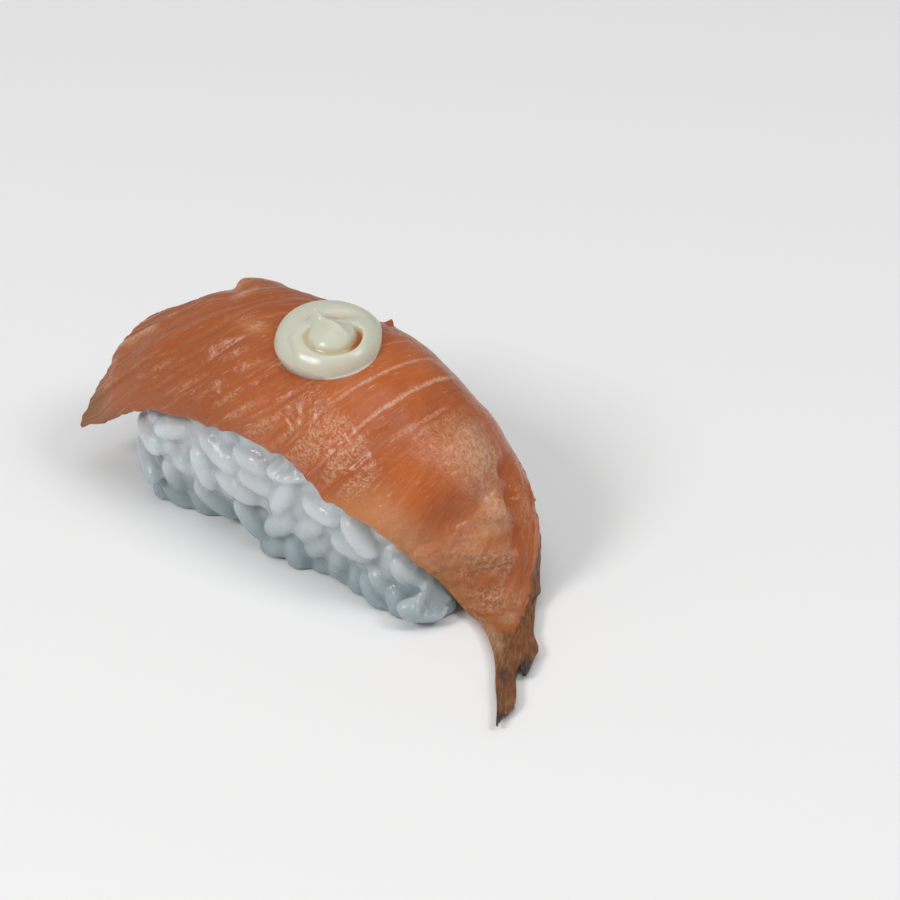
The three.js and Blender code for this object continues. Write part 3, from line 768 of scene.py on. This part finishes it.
def segment_bell(x, y, start, end, width):
    """bell(distance / width) from a straight segment, and the share of the way along it."""
    dx, dy = end[0] - start[0], end[1] - start[1]
    share = np.clip(((x - start[0]) * dx + (y - start[1]) * dy) / (dx * dx + dy * dy), 0, 1)
    return bell(np.hypot(x - start[0] - share * dx, y - start[1] - share * dy) / width), share


def dollop_height(x, y, radius, shoulder, peak, groove):
    """Thickness of the swirl over the slice, and how deep in a groove each point is, from 0 to 1.
    A body shoulder (1 - r^4)^(1/2) carries a last coil, raised inside an off-centre ellipse; a
    groove runs round that ellipse, deepest on the right, and a ridge falls from the tip."""
    r = np.hypot(x, y) / radius
    body = shoulder * (1 - np.minimum(r, 1) ** 4) ** 0.5 * (1 + 0.13 * y / radius)
    cx, cy, half, front, back = HEART
    u, v = (x - cx) / half, (y - cy) / np.where(y < cy, front, back)
    rho, angle = np.hypot(u, v), np.arctan2(v, u)
    dome = 0.95 * (1 - smooth(0.1, 1.12, rho))
    right = bell((angle + 0.22) / 0.62)
    front_left = 1 - smooth(0.2, 0.6, angle) + smooth(2.3, 2.9, angle)
    line = bell((rho - 1.06 + 0.02 * right) / (0.15 - 0.03 * right))
    depth = line * (0.38 * front_left + right)
    rear = bell((x - 1.3) / 2.1) * bell((y - 1.55) / 0.85)
    ledge, _ = segment_bell(x, y, (-5.1, -1.6), (-4.4, -4.7), 0.42)
    lip, _ = segment_bell(x, y, (-4.4, -2.0), (-3.9, -4.6), 0.8)
    ridge, share = segment_bell(x, y, TIP, (2.3, -2.9), 0.62)
    brow, along_brow = segment_bell(x, y, TIP, (3.3, -0.35), 0.55)
    apart = np.hypot(x - TIP[0], y - TIP[1])
    tip = peak * np.exp(-1.25 * apart**1.05)
    height = body + dome - groove * depth - 0.75 * rear - 0.2 * ledge + 0.22 * lip + tip
    height += 0.62 * ridge * (1 - 0.45 * share)
    height += 0.42 * brow * (1 - 0.6 * along_brow)
    inside = np.clip(0.5 * line * front_left + right * line + 0.4 * rear, 0, 1)
    return height, inside


def dollop_mesh(radius, shoulder, peak, groove, rings=120, around=220):
    """The swirl over a polar grid that closes in on its tip, standing along the sheet's normal at
    its middle. Its height is the thickness plus the slice's own fall below that plane, which
    counts in full at the rim and as the square of the radius inside. A skirt and a foot close it
    below the slice's skin."""
    angle = whole_turn(around)
    share = np.linspace(1, 0, rings + 1)[:-1][:, None]
    skirt_r, skirt_height = np.array(SKIRT).T[..., None]
    r = np.concatenate([skirt_r, np.sin(share * np.pi / 2) ** 0.9])
    sunk = np.concatenate([skirt_height, 0 * share])
    lobe = 0.99 - 0.02 * np.cos(2 * angle) - 0.014 * np.sin(2 * angle) - 0.035 * np.cos(3 * angle)
    inward = np.where(sunk < 0, 0, 1 - r * r)
    x = (radius * r * lobe * np.cos(angle) + TIP[0] * inward).reshape(-1)
    y = (radius * r * lobe * np.sin(angle) + TIP[1] * inward).reshape(-1)
    x, y = np.concatenate([[0], x, TIP[:1]]), np.concatenate([[0], y, TIP[1:]])
    sunk = np.concatenate([[SKIRT[0][1]], (sunk + 0 * angle).reshape(-1), [0]])
    spread = np.hypot(x, y) / radius
    thick, inside = dollop_height(x, y, radius, shoulder, peak, groove)
    c, s = np.cos(DOLLOP_TURN * DEG), np.sin(DOLLOP_TURN * DEG)
    run, side = x * c - y * s, x * s + y * c
    l, t = DOLLOP_ALONG + run, DOLLOP_ACROSS + side / arc_length(0.0, 1)
    here = np.full(1, DOLLOP_ALONG), np.full(1, DOLLOP_ACROSS)
    middle, up = sheet_point(*here)[0], sheet_normal(*here)[0]
    fall = ((sheet_point(l, t) - middle) @ up) * np.minimum(1, spread**2 * 1.05)
    forward = unit(np.cross([0, 1, 0], up))
    aside = np.cross(up, forward)
    height = np.where(sunk < 0, sunk, thick + 0.05) + fall
    points = middle + run[:, None] * forward + side[:, None] * aside + height[:, None] * up
    quads, triangles = tube_faces(len(r), around)
    values = {"inside": inside, "rim": smooth(0.86, 1, spread)}
    return points, quads.tolist() + triangles.tolist(), values


# ---- Finishes ----


def rgba(colour):
    return (*colour, 1.0)


class Finish:
    """A material whose nodes are added one by one. Each call gives back the node's output."""

    def __init__(self, name, **constants):
        self.material = bpy.data.materials.new(name)
        self.material.use_nodes = True
        self.nodes = self.material.node_tree.nodes
        self.links = self.material.node_tree.links
        self.shader = self.nodes["Principled BSDF"]
        for socket, value in constants.items():
            self.shader.inputs[socket.replace("_", " ")].default_value = value

    def add(self, kind, inputs, output=0, **settings):
        """A node of a kind, with its sockets set to a value or joined to another node's output."""
        node = self.nodes.new(kind)
        for key, value in settings.items():
            setattr(node, key, value)
        for key, value in inputs.items():
            if isinstance(value, bpy.types.NodeSocket):
                self.links.new(value, node.inputs[key])
            else:
                node.inputs[key].default_value = value
        return node.outputs[output]

    def join(self, socket, value):
        self.links.new(value, self.shader.inputs[socket])

    def math(self, operation, *values):
        return self.add("ShaderNodeMath", dict(enumerate(values)), operation=operation)

    def plus(self, *values):
        return self.math("ADD", *values)

    def times(self, *values):
        return self.math("MULTIPLY", *values)

    def apart(self, first, second):
        return self.math("ABSOLUTE", self.math("SUBTRACT", first, second))

    def ramp(self, value, low, high):
        """0 at low, 1 at high, and a smooth step between."""
        ends = {"Value": value, "From Min": low, "From Max": high}
        return self.add("ShaderNodeMapRange", ends, interpolation_type="SMOOTHSTEP")

    def blend(self, share, low, high):
        """The low colour at 0 and the high one at 1."""
        low, high = (c if isinstance(c, bpy.types.NodeSocket) else rgba(c) for c in (low, high))
        return self.add("ShaderNodeMix", {0: share, 6: low, 7: high}, 2, data_type="RGBA")

    def value(self, name):
        """The piece's own attribute."""
        return self.add("ShaderNodeAttribute", {}, 2, attribute_name=name)

    def stretch(self, vector, x, y):
        return self.add("ShaderNodeMapping", {"Vector": vector, "Scale": (x, y, 1)})

    def map(self, name):
        """The piece's own map, in millimetres."""
        return self.stretch(self.add("ShaderNodeUVMap", {}, uv_map=name), MAP_SIZE, MAP_SIZE)

    def solid(self):
        """The piece's own coordinates, in metres."""
        return self.add("ShaderNodeTexCoord", {}, 3)

    def speckle(self, vector, scale, detail=2, rough=0.5):
        sockets = {"Vector": vector, "Scale": scale, "Detail": detail, "Roughness": rough}
        return self.add("ShaderNodeTexNoise", sockets)

    def bump(self, height, distance, strength=1):
        sockets = {"Height": height, "Distance": distance, "Strength": strength}
        self.join("Normal", self.add("ShaderNodeBump", sockets))


def salmon_finish(settings):
    """Orange flesh with streaks along its fibres, soft fat lines, a net of fine pale wrinkles in
    patches whose paleness is partly a dry layer and partly painted highlight, painted sheen and
    glints, brown flesh that is partly dry and partly painted shade, and a brown torn skin on the
    tail whose near side is greyed by painted highlight."""
    made = Finish(
        "salmon",
        Subsurface_Weight=0.3,
        Subsurface_Radius=(1, 0.35, 0.15),
        Subsurface_Scale=0.002,
        Specular_IOR_Level=0.3,
    )
    ramp, blend, speckle, plus, times = made.ramp, made.blend, made.speckle, made.plus, made.times
    fibres, sheet = made.map("fibres"), made.map("sheet")
    place_along, dried_and_shaded = made.value("place_along"), made.value("dried_and_shaded")

    # Clouds of lighter orange, which fade out on the left, then thin flesh, brown flesh that is
    # partly dry and partly painted shade, and streaks.
    cloud = ramp(speckle(made.solid(), 90, 3, 0.6), 0.35, 0.68)
    light = times(cloud, plus(times(ramp(place_along, -20, 8), 0.8), 0.2))
    flesh = blend(light, settings.deep, settings.flesh)
    flesh = blend(times(made.value("thin"), 0.85), flesh, settings.thin)
    flesh = blend(dried_and_shaded, flesh, settings.dried_and_shaded)
    streak = speckle(made.stretch(fibres, 1.5, 0.16), 1, 3, 0.6)
    flesh = blend(times(ramp(streak, 0.5, 0.78), 0.4), flesh, settings.pale)

    # Fat lines lie where the count of bands is whole. They wander, and are broken in places.
    bands = made.value("bands")
    off = times(made.apart(bands, made.math("ROUND", bands)), made.value("band_size"))
    wander = made.math("SUBTRACT", speckle(sheet, 0.6, 3, 0.6), 0.5)
    off = plus(off, times(wander, 1.1))
    line = times(ramp(off, settings.fat_width / MM, 0.05), made.value("fat"))
    broken = ramp(speckle(sheet, 2.6), 0.25, 0.6)
    flesh = blend(times(line, broken), flesh, settings.fat)

    # Pale net on the ridges where it is wrinkled, partly a dry layer and partly painted highlight; a
    # veil of painted sheen; and short painted glints along the fibres.
    net = made.stretch(sheet, 0.8, 1)
    # Where the net of pale ridges shows: partly a dry layer, partly painted highlight.
    net_cover = ramp(speckle(net, 1.3), 0.3, 0.55)
    ridge = times(ramp(made.apart(speckle(net, 1.6, 1), 0.5), 0.17, 0.02), net_cover)
    patchy = ramp(speckle(sheet, 0.35), 0.22, 0.5)
    wrinkled = times(times(made.value("wrinkled"), patchy), ramp(off, 0.4, 1.6))
    film_and_sheen = times(times(plus(times(ridge, 0.8), 0.1), wrinkled), settings.film_and_sheen_strength)
    # Painted sheen: a pale veil where the wet surface shines, partly a thin layer.
    sheen_veil = times(made.value("milky_sheen"), plus(times(ridge, 0.5), 0.4))
    # Painted glints: short pale dashes along the fibres, where the wet surface catches the light.
    glint_dashes = times(ramp(speckle(made.stretch(fibres, 3.4, 0.55), 1), 0.62, 0.76), 0.6)
    film_and_sheen = made.math("MAXIMUM", made.math("MAXIMUM", film_and_sheen, glint_dashes), sheen_veil)
    flesh = blend(film_and_sheen, flesh, settings.film_and_sheen)

    # Skin with a torn edge, fibres across the tail, a grey near side that is painted highlight on its
    # wrinkles, and blackened ends.
    torn = times(made.math("SUBTRACT", speckle(sheet, 0.6, 5, 0.75), 0.5), 7)
    skin = ramp(plus(made.value("skin"), torn), -0.6, 1.2)
    lengthwise = made.stretch(sheet, 0.45, 2.4)
    fibre = ramp(speckle(lengthwise, 1.2, 4, 0.75), 0.36, 0.72)
    # Painted highlight: the near side of the skin is lighter and greyer.
    near = times(ramp(made.value("place_across"), -0.15, -0.65), ramp(place_along, 60, 53))
    light = blend(near, settings.skin_light, settings.skin_glint_grey)
    dark = blend(near, settings.skin, settings.skin_light)
    black = ramp(speckle(lengthwise, 1.6, 3, 0.7), 0.68, 0.5)
    black = times(times(black, 0.9), made.value("frayed"))
    skin_colour = blend(black, blend(fibre, dark, light), settings.skin_black)
    made.join("Base Color", blend(skin, flesh, skin_colour))

    fine = times(speckle(sheet, 3), 0.25)
    made.bump(plus(times(ridge, plus(wrinkled, 0.1)), fine), 0.00008)
    made.join("Roughness", plus(times(dried_and_shaded, 0.2), 0.26))
    return made.material


def rice_finish(settings):
    """Wet translucent rice: bluish white and a shade warmer in patches, with painted shade that turns
    it darker and bluer towards the foot.
    """
    made = Finish(
        "rice",
        Subsurface_Weight=0.9,
        Subsurface_Radius=(1, 1, 1),
        Subsurface_Scale=0.0048,
        IOR=1.45,
        Roughness=0.14,
    )
    place = made.solid()
    cloud = made.ramp(made.speckle(place, 160), 0.35, 0.7)
    white = made.blend(cloud, settings.shade, settings.grain)
    height = made.add("ShaderNodeSeparateXYZ", {"Vector": place}, 2)
    # Painted shade: the grains turn darker and bluer towards the table.
    made.join("Base Color", made.blend(made.ramp(height, 0.012, 0.001), white, settings.foot))
    made.bump(made.speckle(place, 900, 3, 0.6), 0.00025)
    return made.material


def mayonnaise_finish(settings):
    """Smooth glossy cream with painted shade: yellower and darker in the groove, and orange in its
    deepest part and at the rim, where the slice also shows through the thin cream.
    """
    made = Finish(
        "mayonnaise",
        Subsurface_Weight=0.5,
        Subsurface_Radius=(1, 0.8, 0.35),
        Subsurface_Scale=0.0018,
        IOR=1.42,
        Roughness=0.22,
    )
    inside = made.value("inside")
    # Painted shade: yellower and darker in the groove, and dark orange at its deepest, where the
    # slice also shows through.
    cream = made.blend(made.ramp(inside, 0.1, 0.55), settings.cream, settings.shade)
    cream = made.blend(made.ramp(inside, 0.62, 0.95), cream, settings.orange_through_and_shade)
    cream = made.blend(made.times(made.value("rim"), 0.2), cream, settings.orange_through_and_shade)
    made.join("Base Color", cream)
    made.bump(made.speckle(made.solid(), 500), 0.0001, 0.3)
    return made.material


# ---- Settings ----


def number_setting(name, description, default, kind="NONE", unit="NONE", **limits):
    return bpy.props.FloatProperty(
        name=name, description=description, default=default, subtype=kind, unit=unit, **limits
    )


def length_setting(name, description, millimetres):
    return number_setting(name, description, millimetres * MM, "DISTANCE", "LENGTH", precision=4)


def power_setting(name, description, watts):
    return number_setting(name, description, watts, "POWER", "POWER")


def colour_setting(name, description, default):
    return bpy.props.FloatVectorProperty(
        name=name, description=description, default=default, size=3, subtype="COLOR", min=0, max=1
    )


class SliceSettings(bpy.types.PropertyGroup):
    """Colours of the salmon slice."""

    flesh: colour_setting("Flesh", "Orange of the flesh", (0.44, 0.113, 0.028))
    deep: colour_setting("Deep flesh", "Darker orange between clouds", (0.34, 0.077, 0.018))
    pale: colour_setting("Fibres", "Pale streaks along the fibres", (0.5, 0.2, 0.09))
    fat: colour_setting("Fat", "Pale fat lines between the muscle bands", (0.56, 0.33, 0.22))
    # Film: pale colour of the wrinkle ridges, partly a dry layer and partly painted highlight.
    film_and_sheen: colour_setting("Film", "Pale film on the dried wrinkles", (0.6, 0.37, 0.235))
    film_and_sheen_strength: number_setting("Film strength", "How well it covers", 0.75, min=0, max=1)
    thin: colour_setting("Thin flesh", "Yellowish flesh where it is thin", (0.5, 0.2, 0.065))
    # Brown of the dry tip, also used as painted shade on the far side and the -X half.
    dried_and_shaded: colour_setting("Dried flesh", "Brown of the dried tip and edge", (0.24, 0.095, 0.036))
    skin: colour_setting("Skin", "Brown skin on the torn tail", (0.12, 0.046, 0.017))
    skin_light: colour_setting("Skin fibres", "Lighter fibres in the skin", (0.26, 0.12, 0.055))
    # Grey skin: painted highlight, the grey glint on the near side of the skin.
    skin_glint_grey: colour_setting("Grey skin", "Greyish brown on its near side", (0.4, 0.27, 0.18))
    skin_black: colour_setting("Frayed skin", "Bluish black at its ends", (0.02, 0.026, 0.033))
    fat_width: length_setting("Fat width", "Half the width of a fat line", 0.7)


class RiceSettings(bpy.types.PropertyGroup):
    """Grains of the rice."""

    count: bpy.props.IntProperty(name="Grains", description="How many", default=215, min=60)
    length: length_setting("Length", "Length of a grain", 7.6)
    width: length_setting("Width", "Width of a grain", 3.6)
    thickness: length_setting("Thickness", "Thickness of a grain", 3.3)
    fusing: length_setting("Fusing", "Size of the cells that fuse the grains together", 0.3)
    grain: colour_setting("Grain", "Bluish white of the grains", (0.53, 0.585, 0.61))
    shade: colour_setting("Shade", "A shade warmer, in patches", (0.5, 0.52, 0.53))
    # Foot: painted shade on the grains near the table.
    foot: colour_setting("Foot", "Bluer grains at the foot", (0.27, 0.33, 0.355))


class MayonnaiseSettings(bpy.types.PropertyGroup):
    """Size and colours of the piped swirl."""

    radius: length_setting("Radius", "Radius of the swirl's foot", 7.1)
    shoulder: length_setting("Shoulder", "Height of its rounded body", 2.15)
    peak: length_setting("Peak", "Height of the pulled-up tip above the body", 1.35)
    groove: length_setting("Groove", "Depth of the spiral groove", 1.0)
    cream: colour_setting("Cream", "Cream white", (0.53, 0.53, 0.44))
    # Shade: painted shade in the groove. The orange after it: the slice seen through thin cream, and
    # painted shade in the deepest groove.
    shade: colour_setting("Shade", "A shade yellower, where it lies deep", (0.5, 0.4, 0.24))
    orange_through_and_shade: colour_setting("Glow", "Orange that shows through where it is thin", (0.5, 0.19, 0.07))


class StageSettings(bpy.types.PropertyGroup):
    """Camera, floor and lights."""

    azimuth: number_setting("Azimuth", "Turn of the camera", 39.5 * DEG, "ANGLE", "ROTATION")
    elevation: number_setting("Elevation", "Height of the camera", 33 * DEG, "ANGLE", "ROTATION")
    distance: length_setting("Distance", "From the camera to the rice", 450)
    lens: number_setting("Lens", "Focal length in millimetres, on a 36 mm sensor", 136.8)
    floor: colour_setting("Floor", "Pale floor", (0.8, 0.8, 0.8))
    key_power: power_setting("Key light", "Soft light in front, a little to the left", 3.9)
    side_power: power_setting("Side light", "Soft light on the right", 2.3)
    top_power: power_setting("Top light", "Soft light overhead", 2.5)
    sky: number_setting("Sky", "Even light from all round", 0.35)


# ---- Operators, one for each piece ----

SENSOR = 36  # the camera's width, in millimetres
FRAME_SIDE = 900  # side of the square frame, in pixels
ORIGIN_IN_FRAME = (344, 522)  # where the origin lands in it, from the top left
FLOOR_HALF = 3  # half the floor's side, in metres
LIGHTS_AIM = (0, 0, 0.015)


class NIGIRI_OT_rice(bpy.types.Operator):
    """Makes the rice: grains fused over their own core"""

    bl_idname = "nigiri.rice"
    bl_label = "Rice"

    def execute(self, context):
        s = context.scene.nigiri_rice
        grains, grain_faces = rice_grains(s.count, s.length / MM, s.width / MM, s.thickness / MM)
        core, core_faces = rice_core()
        grains, core = pressed(grains), pressed(core)
        grains[:, 2] = np.maximum(grains[:, 2], GRAIN_FOOT)
        faces = grain_faces + [[i + len(grains) for i in face] for face in core_faces]
        points = np.concatenate([grains, core])
        piece = make_piece("rice_grains", points, faces, rice_finish(s), "rice")
        fuse = piece.modifiers.new("fuse", "REMESH")
        fuse.mode = "VOXEL"
        fuse.voxel_size = s.fusing
        fuse.use_smooth_shade = True
        soften = piece.modifiers.new("soften", "SMOOTH")
        soften.factor, soften.iterations = 0.5, 9
        return {"FINISHED"}


class NIGIRI_OT_slice(bpy.types.Operator):
    """Makes the salmon slice laid over the rice"""

    bl_idname = "nigiri.slice"
    bl_label = "Salmon slice"

    def execute(self, context):
        s = context.scene.nigiri_slice
        points, faces, values, maps = slice_mesh()
        finish = salmon_finish(s)
        make_piece("salmon_flesh", points, faces, finish, "salmon_slice", values, maps)
        return {"FINISHED"}


class NIGIRI_OT_mayonnaise(bpy.types.Operator):
    """Makes the piped swirl of mayonnaise on top"""

    bl_idname = "nigiri.mayonnaise"
    bl_label = "Mayonnaise"

    def execute(self, context):
        s = context.scene.nigiri_mayonnaise
        sizes = (size / MM for size in (s.radius, s.shoulder, s.peak, s.groove))
        points, faces, values = dollop_mesh(*sizes)
        finish = mayonnaise_finish(s)
        make_piece("mayonnaise_swirl", points, faces, finish, "mayonnaise", values)
        return {"FINISHED"}


def aim(thing, place, target):
    """Puts a camera or light at a place, looking at a target, with its top side up."""
    thing.location = place
    thing.rotation_euler = (Vector(target) - Vector(place)).to_track_quat("-Z", "Y").to_euler()


def soft_light(name, place, size, power):
    """A square area light that shines on the middle of the block."""
    lamp = bpy.data.lights.new(name, "AREA")
    lamp.size = size
    lamp.energy = power
    aim(show(name, lamp), place, LIGHTS_AIM)


class NIGIRI_OT_stage(bpy.types.Operator):
    """Makes the camera, the pale floor and the soft lights"""

    bl_idname = "nigiri.stage"
    bl_label = "Stage"

    def execute(self, context):
        s = context.scene.nigiri_stage
        scene = context.scene
        scene.view_settings.view_transform = "Standard"
        a, e = s.azimuth, s.elevation
        back = np.array([np.sin(a) * np.cos(e), -np.cos(a) * np.cos(e), np.sin(e)])
        right = np.array([np.cos(a), np.sin(a), 0])
        scale = s.distance * SENSOR / (s.lens * FRAME_SIDE)
        aside, down = ((pixel - FRAME_SIDE / 2) * scale for pixel in ORIGIN_IN_FRAME)
        target = np.cross(back, right) * down - right * aside
        camera = show("camera", bpy.data.cameras.new("camera"))
        camera.data.lens = s.lens
        camera.data.sensor_width = SENSOR
        camera.data.clip_start = 0.01
        aim(camera, target + back * s.distance, target)
        scene.camera = camera
        floor = bpy.data.meshes.new("floor")
        h = FLOOR_HALF
        floor.from_pydata([(-h, -h, 0), (h, -h, 0), (h, h, 0), (-h, h, 0)], [], [(0, 1, 2, 3)])
        pale = Finish("floor", Roughness=0.8, Base_Color=rgba(s.floor), Specular_IOR_Level=0.1)
        floor.materials.append(pale.material)
        show("floor", floor)
        soft_light("key", (-0.12, -0.69, 0.6), 0.28, s.key_power)
        soft_light("side", (0.6, 0.12, 0.75), 0.3, s.side_power)
        soft_light("top", (0.1, -0.1, 0.95), 0.7, s.top_power)
        scene.world = bpy.data.worlds.new("studio")
        scene.world.use_nodes = True
        sky = scene.world.node_tree.nodes["Background"].inputs
        sky["Color"].default_value = (1, 1, 1, 1)
        sky["Strength"].default_value = s.sky
        return {"FINISHED"}


class NIGIRI_PT_parts(bpy.types.Panel):
    """Lists the nigiri's pieces"""

    bl_idname = "NIGIRI_PT_parts"
    bl_label = "Salmon nigiri"
    bl_space_type = "VIEW_3D"
    bl_region_type = "UI"
    bl_category = "Nigiri"

    def draw(self, context):
        for operator in OPERATORS:
            self.layout.operator(operator.bl_idname)
        for group in SETTINGS:
            settings = getattr(context.scene, group)
            for name in settings.__annotations__:
                self.layout.prop(settings, name)


SETTINGS = {
    "nigiri_rice": RiceSettings,
    "nigiri_slice": SliceSettings,
    "nigiri_mayonnaise": MayonnaiseSettings,
    "nigiri_stage": StageSettings,
}
OPERATORS = (NIGIRI_OT_rice, NIGIRI_OT_slice, NIGIRI_OT_mayonnaise, NIGIRI_OT_stage)


def register():
    for group, kind in SETTINGS.items():
        bpy.utils.register_class(kind)
        setattr(bpy.types.Scene, group, bpy.props.PointerProperty(type=kind))
    for kind in (*OPERATORS, NIGIRI_PT_parts):
        bpy.utils.register_class(kind)


def unregister():
    for kind in (NIGIRI_PT_parts, *reversed(OPERATORS)):
        bpy.utils.unregister_class(kind)
    for group, kind in SETTINGS.items():
        delattr(bpy.types.Scene, group)
        bpy.utils.unregister_class(kind)


def main():
    register()
    bpy.ops.nigiri.rice()
    bpy.ops.nigiri.slice()
    bpy.ops.nigiri.mayonnaise()
    bpy.ops.nigiri.stage()


if __name__ == "__main__":
    main()
